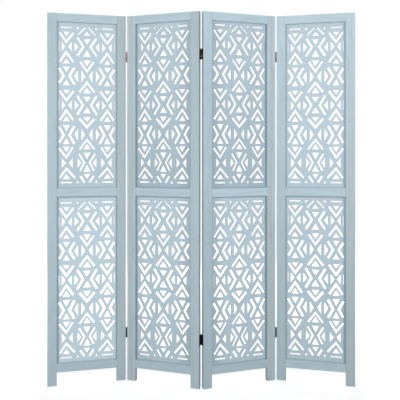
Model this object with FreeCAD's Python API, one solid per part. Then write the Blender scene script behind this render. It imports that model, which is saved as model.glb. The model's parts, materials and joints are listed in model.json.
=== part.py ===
# Folding screen of four framed panels with pierced fretwork boards, in millimetres.
# The origin is on the floor at the middle of the standing screen, +Z up, front faces towards -Y.

import FreeCAD, Part
import math
import os

# Whole screen
screen_height = 1700.0
panel_width = 357.0
frame_thickness = 20.0
outer_turn_deg = 14.3
inner_turn_deg = 19.4

# Frame members
stile_width = 42.0
rail_width = 38.5
foot_height = 61.0
edge_ease = 1.0

# Fretwork boards and the grooves that hold them
board_thickness = 4.0
board_recess = 8.0
groove_depth = 6.0
groove_clearance = 0.15
board_end_clearance = 0.4
fret_side_margin = 7.0
fret_top_margin = 21.2
fret_bottom_margin = 23.4
stroke_width = 9.0
keel_stroke_width = 9.6
thin_stroke_width = 5.2
cut_growth = 0.7

# Boards whose fret is cut higher, lower or taller than the others: bottom and top margin
odd_fret_margins = {(2, "upper"): (24.0, 19.2), (3, "upper"): (24.1, 15.2),
                    (1, "lower"): (20.6, 25.9), (4, "lower"): (23.9, 20.3)}

# Dowels in the frame joints
dowel_diameter = 6.0
dowel_length = 36.0
dowel_clearance = 0.05
dowel_wall = 1.3
dowel_chamfer = 0.8

# Hinges
hinge_height = 47.2
hinge_reach = 21.0
leaf_thickness = 1.2
pin_diameter = 3.0
pin_clearance = 0.05
pin_offset = 1.3
pin_cap_height = 0.6
pin_cap_inset = 0.4
knuckle_gap = 0.2
notch_clearance = 0.4
upper_hinge_drop = 191.0
lower_hinge_rise = 222.8
centre_hinge_drop = 4.8
knuckle_count = 5

# Hinge screws
screw_diameter = 2.8
screw_head_diameter = 5.2
screw_length = 16.0
screw_tip_length = 3.0
screw_clearance = 0.05
screw_spacing = 27.0

overrun = 1.0

# Worked out from the sizes above
opening_width = panel_width - 2 * stile_width
opening_height = (screen_height - foot_height - 3 * rail_width) / 2
lower_opening = foot_height + rail_width
upper_opening = lower_opening + opening_height + rail_width
field_width = opening_width - 2 * fret_side_margin
knuckle_radius = pin_diameter / 2 + pin_clearance + leaf_thickness

# Which side the panel's left and right hinges fold to
fold_sides = {1: (None, "front"), 2: ("front", "back"), 3: ("back", "front"), 4: ("front", None)}
panel_turns_deg = {1: outer_turn_deg, 2: -inner_turn_deg, 3: inner_turn_deg, 4: -outer_turn_deg}

# Heights of the hinges' middles on each fold: the centre fold's lower hinge sits a little lower
fold_names = ("left", "centre", "right")
hinge_heights = {fold: {"upper": screen_height - upper_hinge_drop, "lower": lower_hinge_rise}
                 for fold in fold_names}
hinge_heights["centre"]["lower"] -= centre_hinge_drop

# The fret: columns and rows where its strokes cross, as shares of the pierced field
column_step_share = 0.361
row_step_share = 0.187
centre_row_shares = (0.876, 0.685, 0.500, 0.311, 0.131)
outer_row_shares = (0.8742, 0.687, 0.4995, 0.308, 0.1285)

# Cuts around each crossing: kind, near end, far end, half spread and stroke.
# Up and down, lengths are shares of the row step and spreads of the column step, and sideways
# the other way round. A wedge has its point at the near end, a bent stroke its corner. Where the
# two arms of a stroke differ, the arm that goes up or away from the middle comes first.
centre_cut_shares = (
    {"up": [("wedge", 0.087, 0.264, 0.164)],
     "down": [("wedge", 0.117, 0.336, 0.182)],
     "side": [("bent", 0.175, (0.458, 0.474), (0.303, 0.318), 1.03)]},
    {"up": [("bent", 0.177, 0.51, 0.331, 0.95), ("wedge", 0.36, 0.56, 0.18)],
     "down": [("bent", 0.208, 0.541, 0.367, 1.03), ("wedge", 0.383, 0.575, 0.19)],
     "side": [("wedge", 0.08, 0.27, 0.2), ("wedge", 0.624, 0.439, 0.2)]},
    {"up": [("wedge", 0.116, 0.289, 0.181)],
     "down": [("wedge", 0.07, 0.273, 0.183)],
     "side": [("bent", 0.2, (0.473, 0.482), 0.33, 1.06)]},
    {"up": [("bent", 0.253, 0.545, 0.367, 1.15), ("wedge", 0.428, 0.605, 0.182)],
     "down": [("bent", 0.18, 0.506, 0.363, 0.88), ("wedge", 0.322, 0.505, 0.169)],
     "side": [("wedge", 0.095, 0.27, 0.2), ("wedge", 0.613, 0.441, 0.2)]},
    {"up": [("wedge", 0.113, 0.338, 0.169)],
     "down": [("wedge", 0.079, 0.315, 0.169)],
     "side": [("bent", 0.13, (0.388, 0.335), (0.297, 0.281), 0.88)]})
outer_cut_shares = (
    {"up": [("bent", 0.153, 0.475, (0.313, 0.344), 0.96), ("wedge", 0.366, 0.505, 0.15)],
     "down": [("bent", 0.197, 0.526, (0.308, 0.344), 0.97), ("wedge", 0.42, 0.577, 0.153)],
     "in": [("wedge", 0.083, 0.255, 0.154), ("wedge", 0.585, 0.399, 0.156)],
     "out": [("wedge", 0.05, 0.211, 0.154), ("slit", 0.344, 0.352, 0.163)]},
    {"up": [("wedge", 0.133, 0.313, 0.161)],
     "down": [("wedge", 0.132, 0.321, 0.16)],
     "in": [("bent", 0.148, 0.398, 0.292, 1.18)],
     "out": [("bent", 0.125, 0.343, 0.252, 1.12)]},
    {"up": [("bent", 0.159, 0.485, (0.314, 0.342), 1.03), ("wedge", 0.377, 0.513, 0.155)],
     "down": [("bent", 0.178, 0.514, (0.311, 0.331), 1.0), ("wedge", 0.377, 0.554, 0.162)],
     "in": [("wedge", 0.08, 0.255, 0.154), ("wedge", 0.586, 0.404, 0.156)],
     "out": [("wedge", 0.048, 0.211, 0.154), ("slit", 0.346, 0.354, 0.165)]},
    {"up": [("wedge", 0.131, 0.341, 0.164)],
     "down": [("wedge", 0.105, 0.313, 0.161)],
     "in": [("bent", 0.147, 0.387, 0.306, 1.2)],
     "out": [("bent", 0.126, (0.35, 0.333), (0.275, 0.26), 1.08)]},
    {"up": [("bent", 0.189, (0.497, 0.537), (0.342, 0.305), 0.94), ("wedge", 0.372, 0.56, 0.163)],
     "down": [("bent", 0.19, (0.506, 0.514), (0.31, 0.416), 0.95), ("wedge", 0.374, 0.545, 0.172)],
     "in": [("wedge", 0.119, 0.301, 0.164), ("wedge", 0.722, 0.541, 0.165)],
     "out": [("wedge", 0.024, 0.209, 0.162)]})

# What closes the fret at its ends, as shares of the column step out from the middle
# and of the row step in from the field's edge
roof_stroke_shares = ((0.078, 0.007), (0.412, 0.246))
keel_stroke_shares = ((0.323, 0.235), (0.119, 0.014))
roof_wedge_shares = (0.138, 0.273, 0.151)
keel_wedge_shares = (0.143, 0.306, 0.154)
end_bar_shares = (0.739, 1.265)
dot_place_share = 0.456
dot_size_shares = (0.07, 0.078)


# Plan view

def turned(turn_deg, across, back):
    """Plan offset of a point given across and back from a panel's corner."""
    turn = math.radians(turn_deg)
    return (across * math.cos(turn) - back * math.sin(turn),
            across * math.sin(turn) + back * math.cos(turn))


def pin_in_panel(edge, side):
    """Across and back of a hinge pin, for the panel's left or right edge."""
    across = -knuckle_radius if edge == "left" else panel_width + knuckle_radius
    back = -pin_offset if side == "front" else frame_thickness + pin_offset
    return across, back


def stand_panels():
    """Corner of each panel and place of each pin, for the screen as it stands."""
    corners = {2: (0.0, 0.0)}
    pins = {}
    for left in (2, 3):
        pins[left] = walk(corners[left], left, "right", 1)
        corners[left + 1] = walk(pins[left], left + 1, "left", -1)
    pins[1] = walk(corners[2], 2, "left", 1)
    corners[1] = walk(pins[1], 1, "right", -1)
    middle = middle_of(corners)
    shifted = [{name: (x - middle[0], y - middle[1]) for name, (x, y) in places.items()}
               for places in (corners, pins)]
    return shifted[0], shifted[1]


def walk(start, panel, edge, way):
    """Go from a panel's corner to its pin, or back with way -1."""
    side = fold_sides[panel][0 if edge == "left" else 1]
    dx, dy = turned(panel_turns_deg[panel], *pin_in_panel(edge, side))
    return start[0] + way * dx, start[1] + way * dy


def middle_of(corners):
    """Middle of the plan box round the eased corners of all panels."""
    xs, ys = [], []
    for panel, (x, y) in corners.items():
        for across in (edge_ease, panel_width - edge_ease):
            for back in (edge_ease, frame_thickness - edge_ease):
                dx, dy = turned(panel_turns_deg[panel], across, back)
                xs.append(x + dx)
                ys.append(y + dy)
    return (min(xs) + max(xs)) / 2, (min(ys) + max(ys)) / 2


# Simple solids

def block(x1, x2, y1, y2, z1, z2):
    corner = FreeCAD.Vector(min(x1, x2), min(y1, y2), min(z1, z2))
    return Part.makeBox(abs(x2 - x1), abs(y2 - y1), abs(z2 - z1), corner)


def rod(radius, start, end):
    along = FreeCAD.Vector(*end) - FreeCAD.Vector(*start)
    return Part.makeCylinder(radius, along.Length, FreeCAD.Vector(*start), along)


def taper(start_radius, end_radius, start, end):
    along = FreeCAD.Vector(*end) - FreeCAD.Vector(*start)
    return Part.makeCone(start_radius, end_radius, along.Length, FreeCAD.Vector(*start), along)


# Frame members, drawn with the panel's left front corner at zero

def groove(x1, x2, z1, z2):
    front = board_recess - groove_clearance
    back = board_recess + board_thickness + groove_clearance
    return block(x1, x2, front, back, z1, z2)


def rail_bottoms():
    return {"top_rail": screen_height - rail_width,
            "mid_rail": lower_opening + opening_height,
            "bottom_rail": foot_height}


def dowel_heights():
    """Heights of the two dowels in each frame joint."""
    offset = rail_width / 2 - groove_depth - dowel_wall - dowel_diameter / 2
    middles = [bottom + rail_width / 2 for bottom in rail_bottoms().values()]
    return [middle + way * offset for middle in middles for way in (-1, 1)]


def dowel_holes():
    """All dowel holes of a panel, through both joints of each rail."""
    radius = dowel_diameter / 2 + dowel_clearance
    reach = dowel_length / 2 + dowel_clearance
    middle = frame_thickness / 2
    holes = []
    for joint in (stile_width, panel_width - stile_width):
        for height in dowel_heights():
            holes.append(rod(radius, (joint - reach, middle, height), (joint + reach, middle, height)))
    return holes


def stile(panel, edge):
    """Upright of a panel from floor to top, with board grooves, dowel holes and screw holes."""
    outer = 0.0 if edge == "left" else panel_width
    inward = 1 if edge == "left" else -1
    inner = outer + inward * stile_width
    body = block(outer, inner, 0, frame_thickness, 0, screen_height)
    body = body.makeFillet(edge_ease, body.Edges)
    cuts = []
    for bottom in (lower_opening, upper_opening):
        top = bottom + opening_height
        cuts.append(groove(inner - inward * groove_depth, inner + inward * overrun,
                           bottom - groove_depth, top + groove_depth))
    cuts += dowel_holes()
    side = fold_sides[panel][0 if edge == "left" else 1]
    if side:
        cuts += [screw_hole(edge, side, height) for height in screw_heights(panel, edge)]
    return body.cut(cuts)


def rail(name):
    """Cross member between the stiles, grooved where a board enters it."""
    bottom = rail_bottoms()[name]
    top = bottom + rail_width
    left, right = stile_width, panel_width - stile_width
    body = block(left, right, 0, frame_thickness, bottom, top)
    long_edges = [edge for edge in body.Edges if abs(edge.Length - (right - left)) < edge_ease]
    body = body.makeFillet(edge_ease, long_edges)
    cuts = dowel_holes()
    if name != "top_rail":
        cuts.append(groove(left - overrun, right + overrun, top - groove_depth, top + overrun))
    if name != "bottom_rail":
        cuts.append(groove(left - overrun, right + overrun, bottom - overrun, bottom + groove_depth))
    return body.cut(cuts)


def dowels():
    """Dowels of one panel as separate solids."""
    middle = frame_thickness / 2
    radius = dowel_diameter / 2
    solids = []
    for joint in (stile_width, panel_width - stile_width):
        for height in dowel_heights():
            pin = rod(radius, (joint - dowel_length / 2, middle, height),
                      (joint + dowel_length / 2, middle, height))
            ends = [edge for edge in pin.Edges if edge.Closed]
            solids.append(pin.makeChamfer(dowel_chamfer, ends))
    return Part.makeCompound(solids)


# Fretwork: each cut is drawn from its crossing outwards, then turned to its direction

def facing(direction, across, along):
    """Plan of a cut: along runs away from the crossing, across runs beside it."""
    if direction in ("up", "down"):
        return across, along if direction == "up" else -along
    return (along if direction == "right" else -along), across


def wedge(near, far, spread):
    return [(0.0, near), (spread, far), (-spread, far)]


def slit(near, far, spread):
    return [(-spread, near), (spread, near), (spread, far), (-spread, far)]


def bent(near, ends, stroke):
    """Two straight arms of even width from one corner, with square ends."""
    tips = []
    drops = []
    for way, (spread, far) in zip((1, -1), ends):
        length = math.hypot(spread, far - near)
        slip_across, slip_along = stroke / 2 * (far - near) / length, stroke / 2 * spread / length
        tips.append([(way * (spread + slip_across), far - slip_along),
                     (way * (spread - slip_across), far + slip_along)])
        drops.append(stroke / 2 * length / spread)
    drop = sum(drops) / len(drops)
    return [(0.0, near - drop), *tips[0], (0.0, near + drop), *reversed(tips[1])]


def bar(start, end, width):
    """Straight stroke with square ends."""
    dx, dz = end[0] - start[0], end[1] - start[1]
    length = math.hypot(dx, dz)
    sx, sz = -dz / length * width / 2, dx / length * width / 2
    return [(start[0] + sx, start[1] + sz), (end[0] + sx, end[1] + sz),
            (end[0] - sx, end[1] - sz), (start[0] - sx, start[1] - sz)]


def both(share):
    """A share given once or as a pair for the two arms of a stroke."""
    return share if isinstance(share, tuple) else (share, share)


def crossing(cuts, middle, column_step, row_step):
    """Outlines of all cuts round one crossing."""
    outlines = []
    for direction, shapes in cuts.items():
        upright = direction in ("up", "down")
        length_step, spread_step = (row_step, column_step) if upright else (column_step, row_step)
        for kind, near_share, far_share, spread_share, *stroke_share in shapes:
            near = near_share * length_step
            fars = [share * length_step for share in both(far_share)]
            spreads = [share * spread_step for share in both(spread_share)]
            if kind == "bent":
                points = bent(near, list(zip(spreads, fars)), stroke_share[0] * stroke_width)
            else:
                points = {"wedge": wedge, "slit": slit}[kind](near, fars[0], spreads[0])
            placed = [facing(direction, *point) for point in points]
            outlines.append([(middle[0] + x, middle[1] + z) for x, z in placed])
    return outlines


def mirrored(outlines):
    return outlines + [[(-x, z) for x, z in outline] for outline in outlines]


def column_outlines(field_height, column_step, row_step):
    """Cuts of the three columns, about the middle of the field's bottom edge."""
    outlines = []
    for cuts, height_share in zip(centre_cut_shares, centre_row_shares):
        turned_cuts = {"up": cuts["up"], "down": cuts["down"],
                       "left": cuts["side"], "right": cuts["side"]}
        outlines += crossing(turned_cuts, (0.0, height_share * field_height), column_step, row_step)
    for cuts, height_share in zip(outer_cut_shares, outer_row_shares):
        turned_cuts = {"up": cuts["up"], "down": cuts["down"],
                       "left": cuts["in"], "right": cuts["out"]}
        middle = (column_step, height_share * field_height)
        outlines += mirrored(crossing(turned_cuts, middle, column_step, row_step))
    return outlines


def end_outlines(field_height, column_step, row_step):
    """Strokes, wedges, bars and dots that close the field at its top and bottom."""
    outlines = []
    ends = ((field_height, -1, roof_stroke_shares, roof_wedge_shares, thin_stroke_width),
            (0.0, 1, keel_stroke_shares, keel_wedge_shares, keel_stroke_width))
    for edge, inward, stroke_shares, wedge_shares, width in ends:
        points = [(across * column_step, edge + inward * back * row_step)
                  for across, back in stroke_shares]
        strokes = [bar(points[0], points[1], width)]
        bar_height = edge + inward * thin_stroke_width / 2
        bar_ends = [(share * column_step, bar_height) for share in end_bar_shares]
        strokes.append(bar(bar_ends[0], bar_ends[1], thin_stroke_width))
        dot_half, dot_height = dot_size_shares[0] * column_step, dot_size_shares[1] * row_step
        dot_middle = dot_place_share * column_step
        strokes.append([(dot_middle - dot_half, edge), (dot_middle + dot_half, edge),
                        (dot_middle, edge + inward * dot_height)])
        outlines += mirrored(strokes)
        near, far, spread = wedge_shares
        outlines.append([(x, edge + inward * z)
                         for x, z in wedge(near * row_step, far * row_step, spread * column_step)])
    return outlines


def clipped(outline, axis, limit, way):
    """Part of an outline on one side of a straight line along an axis."""
    kept = []
    for first, second in zip(outline, outline[1:] + outline[:1]):
        inside = [way * (limit - point[axis]) >= 0 for point in (first, second)]
        if inside[0]:
            kept.append(first)
        if inside[0] != inside[1]:
            share = (limit - first[axis]) / (second[axis] - first[axis])
            kept.append(tuple(a + share * (b - a) for a, b in zip(first, second)))
    return kept


def grown(outline):
    """Outline with every side moved outwards, as the cutter leaves it."""
    sides = list(zip(outline, outline[1:] + outline[:1]))
    way = math.copysign(1.0, sum(x1 * z2 - x2 * z1 for (x1, z1), (x2, z2) in sides))
    normals = []
    for (x1, z1), (x2, z2) in sides:
        length = math.hypot(x2 - x1, z2 - z1)
        normals.append((way * (z2 - z1) / length, way * (x1 - x2) / length))
    moved = []
    for (x, z), before, after in zip(outline, normals[-1:] + normals[:-1], normals):
        step = cut_growth / (1 + before[0] * after[0] + before[1] * after[1])
        moved.append((x + step * (before[0] + after[0]), z + step * (before[1] + after[1])))
    return moved


def in_field(outline, field_height):
    """Outline kept inside the pierced field and its grown edge."""
    half = field_width / 2 + cut_growth
    for axis, limit, way in ((0, half, 1), (0, -half, -1),
                             (1, field_height + cut_growth, 1), (1, -cut_growth, -1)):
        outline = clipped(outline, axis, limit, way)
    return outline


def fret_outlines(field_height):
    """All cuts of a board, about the middle of the field's bottom edge."""
    steps = field_height, column_step_share * field_width, row_step_share * field_height
    return [in_field(grown(outline), field_height)
            for outline in column_outlines(*steps) + end_outlines(*steps)]


def fretwork(panel, level):
    """Pierced board that stands in the grooves round one opening."""
    opening_bottom = lower_opening if level == "lower" else upper_opening
    bottom_margin, top_margin = odd_fret_margins.get((panel, level),
                                                     (fret_bottom_margin, fret_top_margin))
    lap = groove_depth - board_end_clearance
    left, right = stile_width - lap, panel_width - stile_width + lap
    bottom, top = opening_bottom - lap, opening_bottom + opening_height + lap
    middle = panel_width / 2
    base = opening_bottom + bottom_margin
    outlines = [[(left, bottom), (right, bottom), (right, top), (left, top)]]
    for outline in fret_outlines(opening_height - bottom_margin - top_margin):
        outlines.append([(middle + x, base + z) for x, z in outline])
    wires = []
    for outline in outlines:
        points = [FreeCAD.Vector(x, board_recess, z) for x, z in outline]
        wires.append(Part.makePolygon(points + points[:1]))
    face = Part.makeFace(wires, "Part::FaceMakerBullseye")
    return face.extrude(FreeCAD.Vector(0, board_thickness, 0))


# Hinges, drawn with the pin's axis at zero and then moved to the panel's edge

def knuckle_spans(first):
    """Lower and upper height of every second knuckle, about the hinge's middle."""
    height = (hinge_height - (knuckle_count - 1) * knuckle_gap) / knuckle_count
    bottoms = [-hinge_height / 2 + index * (height + knuckle_gap)
               for index in range(first, knuckle_count, 2)]
    return [(bottom, bottom + height) for bottom in bottoms]


def screw_heights(panel, edge):
    """Heights of the four screws on a panel's left or right edge."""
    heights = hinge_heights[fold_names[panel - (1 if edge == "right" else 2)]].values()
    return [height + way * screw_spacing / 2 for height in heights for way in (-1, 1)]


def plate_start():
    """Distance from the pin at which a leaf's plate clears the other leaf's knuckles."""
    inner = knuckle_radius - leaf_thickness
    return math.sqrt((knuckle_radius + notch_clearance) ** 2 - inner ** 2)


def screw_back():
    """Distance of the screws from the pin, at the middle of the plate."""
    return (plate_start() + hinge_reach) / 2


def edge_signs(edge, side):
    """Way from the pin to the wood, and from the pin across the edge."""
    return (1 if edge == "left" else -1), (1 if side == "front" else -1)


def countersink(wood, depth_way, height, clearance, length):
    """Head and shank of a screw through a leaf, or with clearance the hole for it."""
    back = depth_way * screw_back()
    face = wood * (knuckle_radius - leaf_thickness)
    seat = wood * knuckle_radius
    end = face + wood * length
    head_radius, shank_radius = screw_head_diameter / 2 + clearance, screw_diameter / 2 + clearance
    head = taper(head_radius, shank_radius, (face, back, height), (seat, back, height))
    return head.fuse(rod(shank_radius, (seat, back, height), (end, back, height)))


def leaf(edge, side, height, first_knuckle):
    """Leaf of a butt hinge with its knuckles, screwed on the stile's edge."""
    wood, depth_way = edge_signs(edge, side)
    low, high = height - hinge_height / 2, height + hinge_height / 2
    face, back = wood * (knuckle_radius - leaf_thickness), wood * knuckle_radius
    body = block(face, back, depth_way * plate_start(), depth_way * hinge_reach, low, high)
    for bottom, top in knuckle_spans(first_knuckle):
        span = (height + bottom, height + top)
        neck = block(face, back, 0, depth_way * (plate_start() + leaf_thickness), *span)
        knuckle = rod(knuckle_radius, (0, 0, span[0]), (0, 0, span[1]))
        body = body.fuse([neck, knuckle])
    bore = rod(pin_diameter / 2 + pin_clearance, (0, 0, low - overrun), (0, 0, high + overrun))
    holes = [countersink(wood, depth_way, height + way * screw_spacing / 2, screw_clearance,
                         screw_length) for way in (-1, 1)]
    return body.cut([bore] + holes).removeSplitter()


def hinge_pin(height):
    """Pin with a low cap on each end that keeps it in the knuckles."""
    radius = pin_diameter / 2
    cap_radius = knuckle_radius - pin_cap_inset
    half = hinge_height / 2
    body = rod(radius, (0, 0, height - half), (0, 0, height + half))
    for way in (-1, 1):
        start, end = height + way * half, height + way * (half + pin_cap_height)
        body = body.fuse(taper(cap_radius, cap_radius - pin_cap_height / 2, (0, 0, start), (0, 0, end)))
    return body


def screw(edge, side, height):
    wood, depth_way = edge_signs(edge, side)
    body = countersink(wood, depth_way, height, 0.0, screw_length - screw_tip_length)
    back = depth_way * screw_back()
    reach = knuckle_radius - leaf_thickness + screw_length
    tip = taper(screw_diameter / 2, 0.0, (wood * (reach - screw_tip_length), back, height),
                (wood * reach, back, height))
    return body.fuse(tip)


def screw_hole(edge, side, height):
    """Pilot hole in the stile for one screw, in the panel's own place."""
    hole = countersink(*edge_signs(edge, side), height, screw_clearance, screw_length + overrun)
    return at_pin(hole, edge, side)


def at_pin(shape, edge, side):
    across, back = pin_in_panel(edge, side)
    moved = shape.copy()
    moved.translate(FreeCAD.Vector(across, back, 0))
    return moved


# Putting the screen together

def placed(shape, panel, corners):
    """Shape drawn in a panel's own place, turned and moved to where the panel stands."""
    x, y = corners[panel]
    turn = FreeCAD.Rotation(FreeCAD.Vector(0, 0, 1), panel_turns_deg[panel])
    moved = shape.copy()
    moved.Placement = FreeCAD.Placement(FreeCAD.Vector(x, y, 0), turn).multiply(moved.Placement)
    return moved


def panel_pieces(panel):
    """Wood of one panel and the screws in it, by node name."""
    pieces = {f"{edge}_stile": stile(panel, edge) for edge in ("left", "right")}
    pieces.update({name: rail(name) for name in rail_bottoms()})
    pieces["upper_fretwork"] = fretwork(panel, "upper")
    pieces["lower_fretwork"] = fretwork(panel, "lower")
    pieces["dowels"] = dowels()
    screws = []
    for edge, side in zip(("left", "right"), fold_sides[panel]):
        if side:
            screws += [at_pin(screw(edge, side, height), edge, side)
                       for height in screw_heights(panel, edge)]
    pieces["hinge_screws"] = Part.makeCompound(screws)
    return {f"panel_{panel}_{name}": shape for name, shape in pieces.items()}


def fold_pieces(fold, left_panel):
    """Both hinges of a fold: for each piece its node name, its panel and its shape."""
    side = fold_sides[left_panel][1]
    pieces = []
    for level, height in hinge_heights[fold].items():
        name = f"{fold}_{level}_hinge"
        pieces.append((f"{name}_leaf_{left_panel}", left_panel,
                       at_pin(leaf("right", side, height, 0), "right", side)))
        pieces.append((f"{name}_leaf_{left_panel + 1}", left_panel + 1,
                       at_pin(leaf("left", side, height, 1), "left", side)))
        pieces.append((f"{name}_pin", left_panel, at_pin(hinge_pin(height), "right", side)))
    return pieces


def build_screen():
    """Every node of the screen, placed where it stands."""
    corners, _ = stand_panels()
    nodes = {}
    for panel in corners:
        for name, shape in panel_pieces(panel).items():
            nodes[name] = placed(shape, panel, corners)
    for left_panel, fold in enumerate(fold_names, start=1):
        for name, panel, shape in fold_pieces(fold, left_panel):
            nodes[name] = placed(shape, panel, corners)
    return nodes


os.makedirs("parts", exist_ok=True)
for node, shape in build_screen().items():
    shape.exportStep(f"parts/{node}.step")
for left_panel, fold in enumerate(fold_names, start=1):
    x, y = stand_panels()[1][left_panel]
    print(f"{fold} fold pin at {x:.3f}, {y:.3f}")
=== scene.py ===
import json
import math
import bpy
import bmesh
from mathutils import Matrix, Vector

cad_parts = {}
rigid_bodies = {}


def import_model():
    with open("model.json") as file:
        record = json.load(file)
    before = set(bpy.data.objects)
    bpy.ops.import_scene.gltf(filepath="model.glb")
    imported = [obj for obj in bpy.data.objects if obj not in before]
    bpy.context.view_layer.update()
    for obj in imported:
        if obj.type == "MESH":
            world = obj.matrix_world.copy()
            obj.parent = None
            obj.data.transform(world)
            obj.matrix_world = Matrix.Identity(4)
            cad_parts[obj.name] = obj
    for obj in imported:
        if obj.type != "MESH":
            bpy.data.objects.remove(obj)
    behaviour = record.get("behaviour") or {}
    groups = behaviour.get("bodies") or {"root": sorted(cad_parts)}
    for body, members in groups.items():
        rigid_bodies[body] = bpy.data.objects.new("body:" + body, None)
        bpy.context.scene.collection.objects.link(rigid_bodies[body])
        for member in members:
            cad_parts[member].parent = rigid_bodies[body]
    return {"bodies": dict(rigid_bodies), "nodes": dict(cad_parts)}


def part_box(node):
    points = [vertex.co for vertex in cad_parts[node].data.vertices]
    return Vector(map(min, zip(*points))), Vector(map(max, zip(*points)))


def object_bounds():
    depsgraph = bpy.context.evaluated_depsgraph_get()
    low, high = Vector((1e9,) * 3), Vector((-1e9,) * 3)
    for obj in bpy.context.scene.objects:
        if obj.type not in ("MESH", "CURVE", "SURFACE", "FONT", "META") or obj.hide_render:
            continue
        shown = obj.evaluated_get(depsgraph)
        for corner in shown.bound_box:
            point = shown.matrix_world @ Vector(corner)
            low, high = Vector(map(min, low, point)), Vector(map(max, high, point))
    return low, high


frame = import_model()
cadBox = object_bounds()
print("Frame loaded:", len(frame["nodes"]), "nodes")


# A socket of a material's node tree. Arithmetic on it adds Math nodes.
class Wire:
    def __init__(self, tree, socket=None):
        self.tree = tree
        self.socket = socket

    # Adds any node: its settings are set first, then its inputs are given or linked
    def node(self, kind, settings=None, inputs=None, output=0):
        made = self.tree.nodes.new(kind)
        for name, value in (settings or {}).items():
            setattr(made, name, value)
        for name, value in (inputs or {}).items():
            if isinstance(value, Wire):
                self.tree.links.new(value.socket, made.inputs[name])
            else:
                made.inputs[name].default_value = value
        return Wire(self.tree, made.outputs[output])

    def maths(self, operation, first, second):
        return self.node("ShaderNodeMath", {"operation": operation}, {0: first, 1: second})

    def __add__(self, other):
        return self.maths("ADD", self, other)

    def __sub__(self, other):
        return self.maths("SUBTRACT", self, other)

    def __rsub__(self, other):
        return self.maths("SUBTRACT", other, self)

    def __mul__(self, other):
        return self.maths("MULTIPLY", self, other)

    __radd__ = __add__
    __rmul__ = __mul__

    def least(self, other):
        return self.maths("MINIMUM", self, other)

    def most(self, other):
        return self.maths("MAXIMUM", self, other)

    def size(self):
        return self.maths("ABSOLUTE", self, 0.0)

    def wave(self):
        return self.maths("SINE", self, 0.0)

    # Noise, which lies about 0.5, moved to lie about zero with this reach
    def swing(self, reach):
        return (self - 0.5) * reach

    # Smooth step from 0 at low to 1 at high, or falling where low is the larger
    def fade(self, low, high):
        ends = {"Value": self, "From Min": low, "From Max": high}
        return self.node("ShaderNodeMapRange", {"interpolation_type": "SMOOTHSTEP"}, ends)

    # This factor between two colours
    def between(self, first, second):
        return self.node("ShaderNodeMix", {"data_type": "RGBA"}, {0: self, 6: first, 7: second}, 2)

    def scaled(self, factors):
        return self.node("ShaderNodeVectorMath", {"operation": "MULTIPLY"}, {0: self, 1: factors})

    def moved(self, steps):
        return self.node("ShaderNodeVectorMath", {"operation": "ADD"}, {0: self, 1: steps})

    def length(self):
        return self.node("ShaderNodeVectorMath", {"operation": "LENGTH"}, {0: self}, "Value")

    def noise(self, scale, detail=2.0, roughness=0.5):
        return self.node("ShaderNodeTexNoise", None, {"Vector": self, "Scale": scale,
                                                      "Detail": detail, "Roughness": roughness})

    # A bump on the surface, for a shader's Normal
    def relief(self, distance, strength):
        return self.node("ShaderNodeBump", None,
                         {"Height": self, "Distance": distance, "Strength": strength})


# A colour as a paint chart gives it, from 0 to 255, made linear for a shader socket
def chart(red, green, blue):
    parts = [part / 255 for part in (red, green, blue)]
    return tuple(part / 12.92 if part <= 0.04045 else ((part + 0.055) / 1.055) ** 2.4
                 for part in parts) + (1.0,)


# Starts a material and returns its loose end and its main shader
def startMaterial(name):
    material = bpy.data.materials.new(name)
    material.use_nodes = True
    tree = material.node_tree
    return material, Wire(tree), tree.nodes["Principled BSDF"]


def feed(shader, wires):
    for name, wire in wires.items():
        wire.tree.links.new(wire.socket, shader.inputs[name])


def dress(node, material):
    for slot in frame["nodes"][node].material_slots:
        slot.material = material


# Middle of a panel in plan and its turn about the upright, from its two stiles
def standing(panel):
    ends = []
    for edge in ("left", "right"):
        low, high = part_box(f"panel_{panel}_{edge}_stile")
        ends.append((low + high) / 2)
    span = ends[1] - ends[0]
    middle = (ends[0] + ends[1]) / 2
    return Vector((middle.x, middle.y, 0.0)), math.atan2(span.y, span.x)


# Lowest and highest corner of a node in its panel's own directions
def ownBox(node, middle, turn):
    across = Vector((math.cos(turn), math.sin(turn), 0.0))
    back = Vector((-math.sin(turn), math.cos(turn), 0.0))
    places = []
    for vertex in frame["nodes"][node].data.vertices:
        away = vertex.co - middle
        places.append((away.dot(across), away.dot(back), away.z))
    return Vector(map(min, zip(*places))), Vector(map(max, zip(*places)))


# Object coordinates turned and centred on a panel: across, back and up
def panelPlace(wire, middle, turn):
    point = wire.node("ShaderNodeTexCoord", output="Object")
    return wire.node("ShaderNodeMapping", {"vector_type": "TEXTURE"},
                     {"Vector": point, "Location": middle, "Rotation": (0.0, 0.0, turn)})


def panelNormal(wire, turn):
    normal = wire.node("ShaderNodeTexCoord", output="Normal")
    return wire.node("ShaderNodeMapping", {"vector_type": "TEXTURE"},
                     {"Vector": normal, "Rotation": (0.0, 0.0, turn)})


def split(vector):
    return [vector.node("ShaderNodeSeparateXYZ", None, {0: vector}, axis) for axis in range(3)]


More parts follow.
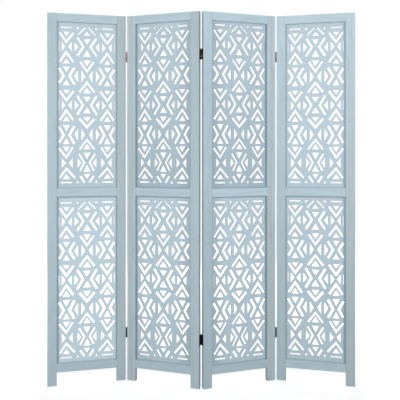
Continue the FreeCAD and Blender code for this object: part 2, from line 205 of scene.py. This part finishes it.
framePaint = {
    "paint": chart(164, 182, 189),
    "palePaint": chart(190, 213, 225),
    "thinPaint": chart(186, 193, 191),    # where the wood's warmth comes through
    "knotPaint": chart(170, 169, 164),
    "latewood": chart(162, 180, 187),
    "sideShadePaint": chart(126, 145, 154),    # painted shade on side and lower faces
    # Share of the pale paint at the bottom and the top of each panel's left and right stile
    "stileTones": {1: ((0.60, 0.36), (0.28, -0.05)), 2: ((0.68, 0.80), (0.54, 0.12)),
                   3: ((0.31, 0.72), (0.50, 1.15)), 4: ((0.30, 0.80), (0.24, 0.98))},
    # And on each panel's top, middle and bottom rail
    "railTones": {1: (0.64, 0.66, 0.54), 2: (0.66, 0.74, 0.72),
                  3: (0.84, 1.02, 0.60), 4: (0.88, 0.76, 0.66)},
    # How the noises stretch along and across the grain
    "cloudSize": (0.25, 0.09),
    "patchSize": (0.30, 0.020),
    "ringSize": (0.85, 0.06),
    "fibreSize": (0.06, 0.0012),
    "seedStep": (3.7, 1.9, 0.8),
    "cloudDepth": 0.5,
    # Warm heartwood in each panel's left and right stile: distance from the middle and strength
    "heartwood": {1: ((0.0, 0.15), (-0.006, 0.45)), 2: ((0.001, 1.0), (-0.008, 0.5)),
                  3: ((0.0, 0.0), (-0.002, 0.9)), 4: ((0.004, 0.1), (0.002, 0.45))},
    "railHeart": (0.0, 0.1),
    "heartFade": (0.013, 0.0039),         # half width where the band ends, and where it is full
    "heartWander": 0.024,
    "heartShare": 0.75,
    "patchFade": (0.45, 0.75),
    "patchShare": 0.6,
    # Knots: place along and across the member from its middle, half length, half width
    "knots": {
        "panel_1_mid_rail": [(-0.055, 0.002, 0.080, 0.006)],
        "panel_1_top_rail": [(-0.048, -0.007, 0.030, 0.005), (0.010, -0.008, 0.045, 0.003)],
        "panel_1_right_stile": [(0.56, -0.013, 0.085, 0.004)],
        "panel_2_left_stile": [(-0.24, 0.010, 0.060, 0.005), (0.09, 0.008, 0.035, 0.006),
                               (0.74, 0.004, 0.050, 0.004)],
        "panel_3_right_stile": [(-0.17, -0.004, 0.070, 0.009), (0.60, 0.004, 0.060, 0.004),
                                (0.24, 0.008, 0.030, 0.003)],
        "panel_4_right_stile": [(0.04, 0.002, 0.018, 0.005), (0.60, -0.010, 0.070, 0.004)],
    },
    "knotFade": (1.1, 0.3),
    "knotShare": 0.1,
    "knotFibres": 0.8,                    # what the fibres add to a knot's share
    # Growth rings and fibres, which show as latewood and as a shallow relief
    "ringCount": 9,
    "ringFade": (0.2, 1.0),
    "ringShare": 0.22,
    "ringRelief": 0.25,
    "fibreFade": (0.52, 0.72),
    "fibreShare": 0.20,
    "grainDepth": 0.0003,
    "grainStrength": 0.6,
    # Arrises rubbed thin in places
    "edgeWidth": 0.0022,
    "rubFade": (0.40, 0.60),
    "rubShare": 0.6,
    # Painted shade on side and lower faces
    "sideShadeFade": (0.6, 0.95),
    "sideShadeShare": 0.4,
    "roughness": 0.62,
    "roughnessSpread": 0.2,
    "specular": 0.35,
}


# Washed paint on one frame member, with the grain along axis 0 or 2 of its panel
def paintMember(node, panel, axis, tones, heart, seed):
    values = framePaint
    middle, turn = standing(panel)
    low, high = ownBox(node, middle, turn)
    material, wire, shader = startMaterial(node + "_paint")
    parts = split(panelPlace(wire, middle, turn))
    facing = split(panelNormal(wire, turn))
    centre = (low + high) / 2
    along = parts[axis] - centre[axis]
    across = parts[2 - axis] - centre[2 - axis]
    grain = wire.node("ShaderNodeCombineXYZ", None, {0: along, 1: across, 2: parts[1]})
    grain = grain.moved([seed * step for step in values["seedStep"]])

    def stretched(size):
        return grain.scaled((1 / size[0], 1 / size[1], 1 / size[1]))

    patches = stretched(values["patchSize"]).noise(1.0, detail=3.0, roughness=0.55)
    rings = stretched(values["ringSize"]).noise(1.0, detail=1.0)
    rings = (rings * (values["ringCount"] * math.tau)).wave()
    fibres = stretched(values["fibreSize"]).noise(1.0, detail=3.0, roughness=0.6)
    clouds = stretched(values["cloudSize"]).noise(1.0, detail=2.0)

    # The paint's tone goes from that of the member's start to that of its end
    start, end = tones
    share = (parts[axis] - low[axis]) * (1 / (high[axis] - low[axis]))
    pale = share * share * (end - start) + start
    pale = pale + clouds.swing(values["cloudDepth"])
    colour = pale.between(values["paint"], values["palePaint"])

    # The heartwood's band wanders along the member and shows more in patches
    offset, strength = heart
    band = across - offset + clouds.swing(values["heartWander"])
    band = band.size().fade(*values["heartFade"]) * values["heartShare"]
    thin = (band + patches.fade(*values["patchFade"]) * values["patchShare"]).least(1.0)
    colour = (thin * strength).between(colour, values["thinPaint"])
    for place, side, length, width in values["knots"].get(node, []):
        reach = ((along - place) * (1 / length)).size() + ((across - side) * (1 / width)).size()
        knot = (reach + (patches - 0.5)).fade(*values["knotFade"])
        shown = fibres * values["knotFibres"] + values["knotShare"]
        colour = (knot * shown).between(colour, values["knotPaint"])
    latewood = rings.fade(*values["ringFade"]) * values["ringShare"]
    colour = latewood.between(colour, values["latewood"])
    latewood = fibres.fade(*values["fibreFade"]) * values["fibreShare"]
    colour = latewood.between(colour, values["latewood"])

    # The paint is rubbed thin along the arrises, and painted shade darkens side and lower faces
    depths = [(high[side] - low[side]) / 2 - (parts[side] - centre[side]).size()
              for side in (1, 2 - axis)]
    edge = depths[0].most(depths[1]).fade(values["edgeWidth"], 0.0)
    rub = edge * patches.fade(*values["rubFade"]) * values["rubShare"]
    colour = rub.between(colour, values["thinPaint"])
    shadedFacing = facing[0].size().most(facing[2] * -1.0).fade(*values["sideShadeFade"])
    colour = (shadedFacing * values["sideShadeShare"]).between(colour, values["sideShadePaint"])

    bump = (rings * values["ringRelief"] + fibres).relief(values["grainDepth"],
                                                          values["grainStrength"])
    gloss = values["roughness"] + fibres.swing(values["roughnessSpread"])
    feed(shader, {"Base Color": colour, "Roughness": gloss, "Normal": bump})
    shader.inputs["Specular IOR Level"].default_value = values["specular"]
    dress(node, material)


seed = 1
for panel in (1, 2, 3, 4):
    stiles = zip(("left", "right"), framePaint["stileTones"][panel],
                 framePaint["heartwood"][panel])
    for edge, tones, heart in stiles:
        paintMember(f"panel_{panel}_{edge}_stile", panel, 2, tones, heart, seed)
        seed += 1
    rails = zip(("top_rail", "mid_rail", "bottom_rail"), framePaint["railTones"][panel])
    for rail, tone in rails:
        tones = (tone, tone)
        paintMember(f"panel_{panel}_{rail}", panel, 0, tones, framePaint["railHeart"], seed)
        seed += 1
print("Frame members painted")


boardPaint = {
    "palePaint": chart(202, 221, 231),
    "paint": chart(165, 185, 196),
    "cutWallPaintAndShade": chart(140, 158, 168),
    "cornerShade": chart(120, 141, 151),
    # Share of the pale paint at the bottom and the top of the board, for each panel
    "paleShares": {"upper": ((0.29, 0.28), (0.10, 0.46), (0.10, 0.45), (0.29, 0.28)),
                   "lower": ((0.99, 0.62), (0.53, 0.60), (0.53, 0.60), (0.46, 0.40))},
    # Painted shade in the corners at the stiles, on the end and the middle panels: how far it
    # reaches, up to where it is full, and its strength
    "outerCornerShade": {"end": (0.0145, 0.005, 0.80), "middle": (0.0098, 0.0045, 0.92)},
    "innerCornerShade": {"end": (0.0075, 0.001, 0.8), "middle": (0.080, 0.0, 0.38)},
    # The same at the rails, with its strengths at the bottom and the top of the opening
    "railCornerShade": (0.0085, 0.001),
    "railShade": {"upper": {"end": (0.40, 0.33), "middle": (0.62, 0.37)},
                  "lower": {"end": (0.38, 1.0), "middle": (0.44, 0.76)}},
    "shadeWander": 0.004,
    "cloudSize": 0.03,
    "cloudDepth": 0.35,
    "speckSize": 0.004,
    "speckDepth": 0.25,
    "seedStep": (2.3, 0.7, 1.1),
    "wallFade": (0.8, 0.3),
    "brushLength": 0.09,
    "brushWidth": 0.003,
    "brushDepth": 0.0001,
    "brushStrength": 0.5,
    "roughness": 0.5,
    "roughnessSpread": 0.15,
}


# Smooth paint on one pierced board, with painted shade in the frame's corners and darker paint,
# partly painted shade, on the walls of the cuts
def paintBoard(panel, level, seed):
    values = boardPaint
    node = f"panel_{panel}_{level}_fretwork"
    middle, turn = standing(panel)
    material, wire, shader = startMaterial(node + "_paint")
    point = panelPlace(wire, middle, turn)
    parts = split(point)
    place = point.moved([seed * step for step in values["seedStep"]])
    clouds = place.noise(1 / values["cloudSize"], detail=3.0, roughness=0.6)
    specks = place.noise(1 / values["speckSize"], detail=2.0)
    width, length = values["brushWidth"], values["brushLength"]
    brush = place.scaled((1 / width, 1 / width, 1 / length)).noise(1.0, detail=2.0)

    # The opening's edges are those of the members round it
    rails = ("bottom_rail", "mid_rail") if level == "lower" else ("mid_rail", "top_rail")
    around = [ownBox(f"panel_{panel}_{name}", middle, turn)
              for name in ("left_stile", "right_stile") + rails]
    left, right, bottom, top = around[0][1].x, around[1][0].x, around[2][1].z, around[3][0].z
    wobble = clouds.swing(values["shadeWander"])

    # Painted shade, darkest at a rim of the opening and fading away from it
    def paintedShade(rim, reach, full, strength):
        return (rim + wobble).fade(reach, full) * strength

    # The outer edge is the one away from the centre fold
    edges = [parts[0] - left, right - parts[0]]
    outer, inner = edges if panel <= 2 else reversed(edges)
    kind = "end" if panel in (1, 4) else "middle"
    corner = paintedShade(outer, *values["outerCornerShade"][kind])
    corner = corner.most(paintedShade(inner, *values["innerCornerShade"][kind]))
    for rim, strength in zip((parts[2] - bottom, top - parts[2]), values["railShade"][level][kind]):
        corner = corner.most(paintedShade(rim, *values["railCornerShade"], strength))

    low, high = values["paleShares"][level][panel - 1]
    pale = (parts[2] - bottom) * ((high - low) / (top - bottom)) + low
    pale = pale + clouds.swing(values["cloudDepth"]) + specks.swing(values["speckDepth"])
    colour = pale.between(values["paint"], values["palePaint"])
    # Darker on the walls of the cuts: partly the cut edges' own paint, partly painted shade inside
    # the cuts
    wall = split(panelNormal(wire, turn))[1].size().fade(*values["wallFade"])
    colour = wall.between(colour, values["cutWallPaintAndShade"])
    # Painted shade in the corners where the board meets the frame
    colour = corner.between(colour, values["cornerShade"])

    bump = brush.relief(values["brushDepth"], values["brushStrength"])
    gloss = values["roughness"] + clouds.swing(values["roughnessSpread"])
    feed(shader, {"Base Color": colour, "Roughness": gloss, "Normal": bump})
    dress(node, material)


for panel in (1, 2, 3, 4):
    for level in ("upper", "lower"):
        paintBoard(panel, level, seed)
        seed += 1
print("Fretwork boards painted")


hingeMetal = {
    "patina": chart(17, 13, 12),
    "copper": chart(158, 121, 99),
    "rubbedAndLit": {"upper": 0.95, "lower": 0.30},   # how much copper shows where the hinge is proud, with a painted highlight on the upper hinges and painted shade on the lower ones
    "screwRubbed": 0.2,
    "proud": (0.004, 0.009),    # distance from the panel's middle where it starts and is full
    # Worn spot on a leaf of a centre hinge: distance up from its middle, half height, strength
    "wornSpots": {(2, "upper"): (0.012, 0.013, 0.5), (3, "upper"): (-0.011, 0.012, 0.7)},
    "spotCore": 0.4,            # share of the half height over which a spot is full
    "spotPatches": (0.3, 0.55),
    "innerHalf": (0.0, 0.1),    # distance from the panel's middle towards the centre fold
    "patchSize": 0.006,
    "grainSize": 0.0012,
    "grainSpread": 0.3,
    # Patches turn to copper between these two values where nothing is rubbed or lit, and at lower
    # ones the more it is rubbed and lit
    "patchEnds": (0.70, 0.80),
    "patchShift": (0.4, 0.3),
    "grainDepth": 0.00008,
    "grainStrength": 0.5,
    "roughness": 0.6,
    "copperRoughness": -0.2,    # what copper adds to the roughness
    "metallic": 0.5,
    "copperMetallic": 0.3,      # and to the metallic share
}


# Antique copper on the pieces of one panel's side of the hinges: rubbed bright where they stand out
# in front of the panel or behind it, dark with patina in the gap, and painted brighter on the upper
# hinges
def makeMetal(name, panel, level, rubbedAndLit):
    values = hingeMetal
    middle, turn = standing(panel)
    material, wire, shader = startMaterial(name)
    place = wire.node("ShaderNodeTexCoord", output="Object")
    patches = place.noise(1 / values["patchSize"], detail=3.0, roughness=0.6)
    grain = place.noise(1 / values["grainSize"], detail=2.0)
    parts = split(panelPlace(wire, middle, turn))
    proud = (split(panelNormal(wire, turn))[1] * parts[1]).fade(*values["proud"])
    ends = [end - rubbedAndLit * shift for end, shift in zip(values["patchEnds"], values["patchShift"])]
    bright = proud * (patches + grain.swing(values["grainSpread"])).fade(*ends)
    if (panel, level) in values["wornSpots"]:
        up, reach, strength = values["wornSpots"][panel, level]
        low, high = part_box(f"centre_{level}_hinge_pin")
        inner = parts[0] if panel == 2 else parts[0] * -1.0
        spot = parts[2] - (low.z + high.z) / 2 - up
        spot = spot.size().fade(reach, reach * values["spotCore"])
        worn = patches.fade(*values["spotPatches"]) * strength
        bright = bright.most(spot * inner.fade(*values["innerHalf"]) * worn)
    # The copper's share carries a painted highlight, larger on the upper hinges than on the lower
    # ones
    colour = (bright * rubbedAndLit).between(values["patina"], values["copper"])
    feed(shader, {"Base Color": colour,
                  "Roughness": values["roughness"] + bright * values["copperRoughness"],
                  "Metallic": values["metallic"] + bright * values["copperMetallic"],
                  "Normal": grain.relief(values["grainDepth"], values["grainStrength"])})
    return material


for panel in (1, 2, 3, 4):
    body = frame["bodies"][f"panel_{panel}"]
    for level, rubbedAndLit in hingeMetal["rubbedAndLit"].items():
        metal = makeMetal(f"panel_{panel}_{level}_hinge_metal", panel, level, rubbedAndLit)
        for node, piece in frame["nodes"].items():
            if piece.parent == body and f"_{level}_hinge_" in node:
                dress(node, metal)
    metal = makeMetal(f"panel_{panel}_screw_metal", panel, "any", hingeMetal["screwRubbed"])
    dress(f"panel_{panel}_hinge_screws", metal)
print("Hinges finished")


beech = {
    "wood": chart(205, 172, 132),
    "fleck": chart(170, 132, 95),
    "fleckFade": (0.45, 0.7),
    "fibreLength": 0.02,
    "fibreWidth": 0.0006,
    "roughness": 0.6,
    "roughnessSpread": 0.2,
}


def makeBeech(panel):
    values = beech
    middle, turn = standing(panel)
    material, wire, shader = startMaterial(f"panel_{panel}_beech")
    place = panelPlace(wire, middle, turn)
    length, width = values["fibreLength"], values["fibreWidth"]
    fibres = place.scaled((1 / length, 1 / width, 1 / width)).noise(1.0, detail=3.0)
    colour = fibres.fade(*values["fleckFade"]).between(values["wood"], values["fleck"])
    gloss = values["roughness"] + fibres.swing(values["roughnessSpread"])
    feed(shader, {"Base Color": colour, "Roughness": gloss})
    dress(f"panel_{panel}_dowels", material)


for panel in (1, 2, 3, 4):
    makeBeech(panel)
print("Dowels finished")


studio = {
    "ambient": 0.19,
    "floorColour": (0.60, 0.60, 0.60, 1.0),
    "floorGlow": 0.60,      # what the camera sees on top of the lit floor, so that it is white
    "farGlow": 0.30,        # more of it away from the screen, where the lamps fade
    "farStart": 0.9,
    "farEnd": 2.2,
    "floorSize": 14.0,
    "floorDrop": 0.0003,    # how far it lies below the feet
    "frontPower": 75.6,
    "frontPlace": (0.0, -3.1, 1.75),
    "backPower": 75.6,
    "backPlace": (0.0, 3.1, 1.75),
    "topPower": 16.0,
    "topPlace": (0.0, 0.0, 3.4),
    "aim": (0.0, 0.0, 1.35),
    "lampSize": (2.0, 1.1),
}


# 1 for what the camera sees, straight, mirrored or through glass
def seenPlainly(wire):
    path = wire.node("ShaderNodeLightPath")
    seen = [Wire(wire.tree, path.socket.node.outputs[name])
            for name in ("Is Camera Ray", "Is Glossy Ray", "Is Transmission Ray")]
    return (seen[0] + seen[1] + seen[2]).least(1.0)


def makeWorld():
    world = bpy.data.worlds.new("studioWorld")
    world.use_nodes = True
    bpy.context.scene.world = world
    background = world.node_tree.nodes["Background"]
    background.inputs["Color"].default_value = (1.0, 1.0, 1.0, 1.0)
    seen = seenPlainly(Wire(world.node_tree))
    strength = seen * (1.0 - studio["ambient"]) + studio["ambient"]
    world.node_tree.links.new(strength.socket, background.inputs["Strength"])


def makeFloor():
    mesh = bpy.data.meshes.new("studio_floor")
    form = bmesh.new()
    bmesh.ops.create_grid(form, x_segments=1, y_segments=1, size=studio["floorSize"])
    height = cadBox[0].z - studio["floorDrop"]
    bmesh.ops.translate(form, verts=form.verts, vec=(0.0, 0.0, height))
    form.to_mesh(mesh)
    form.free()
    floor = bpy.data.objects.new("studio_floor", mesh)
    bpy.context.scene.collection.objects.link(floor)
    material, wire, shader = startMaterial("studio_floor")
    shader.inputs["Base Color"].default_value = studio["floorColour"]
    shader.inputs["Roughness"].default_value = 1.0
    shader.inputs["Specular IOR Level"].default_value = 0.0
    shader.inputs["Emission Color"].default_value = (1.0, 1.0, 1.0, 1.0)
    distance = wire.node("ShaderNodeTexCoord", output="Object").length()
    far = distance.fade(studio["farStart"], studio["farEnd"]) * studio["farGlow"]
    glow = seenPlainly(wire) * (far + studio["floorGlow"])
    feed(shader, {"Emission Strength": glow})
    mesh.materials.append(material)


def makeLamp(side):
    lamp = bpy.data.lights.new(side + "_softbox", "AREA")
    lamp.shape = "RECTANGLE"
    lamp.size, lamp.size_y = studio["lampSize"]
    lamp.energy = studio[side + "Power"]
    softbox = bpy.data.objects.new(side + "_softbox", lamp)
    bpy.context.scene.collection.objects.link(softbox)
    place = Vector(studio[side + "Place"])
    softbox.location = place
    aim = Vector(studio["aim"]) - place
    softbox.rotation_euler = aim.to_track_quat("-Z", "Y").to_euler()


makeWorld()
makeFloor()
for side in ("front", "back", "top"):
    makeLamp(side)
print("Studio lit")


view = {
    "lens": 57.8,
    "sensor": 36.0,
    "place": (0.0, -2.953, 1.0764),
    "turn": (math.radians(90.0), 0.0, 0.0),
    "shift": (-0.0031, -0.1257),
}


def makeCamera():
    camera = bpy.data.objects.new("camera", bpy.data.cameras.new("camera"))
    bpy.context.scene.collection.objects.link(camera)
    camera.data.lens = view["lens"]
    camera.data.sensor_width = view["sensor"]
    camera.data.shift_x, camera.data.shift_y = view["shift"]
    camera.location = view["place"]
    camera.rotation_euler = view["turn"]
    bpy.context.scene.camera = camera
    bpy.context.scene.view_settings.view_transform = "Standard"


makeCamera()
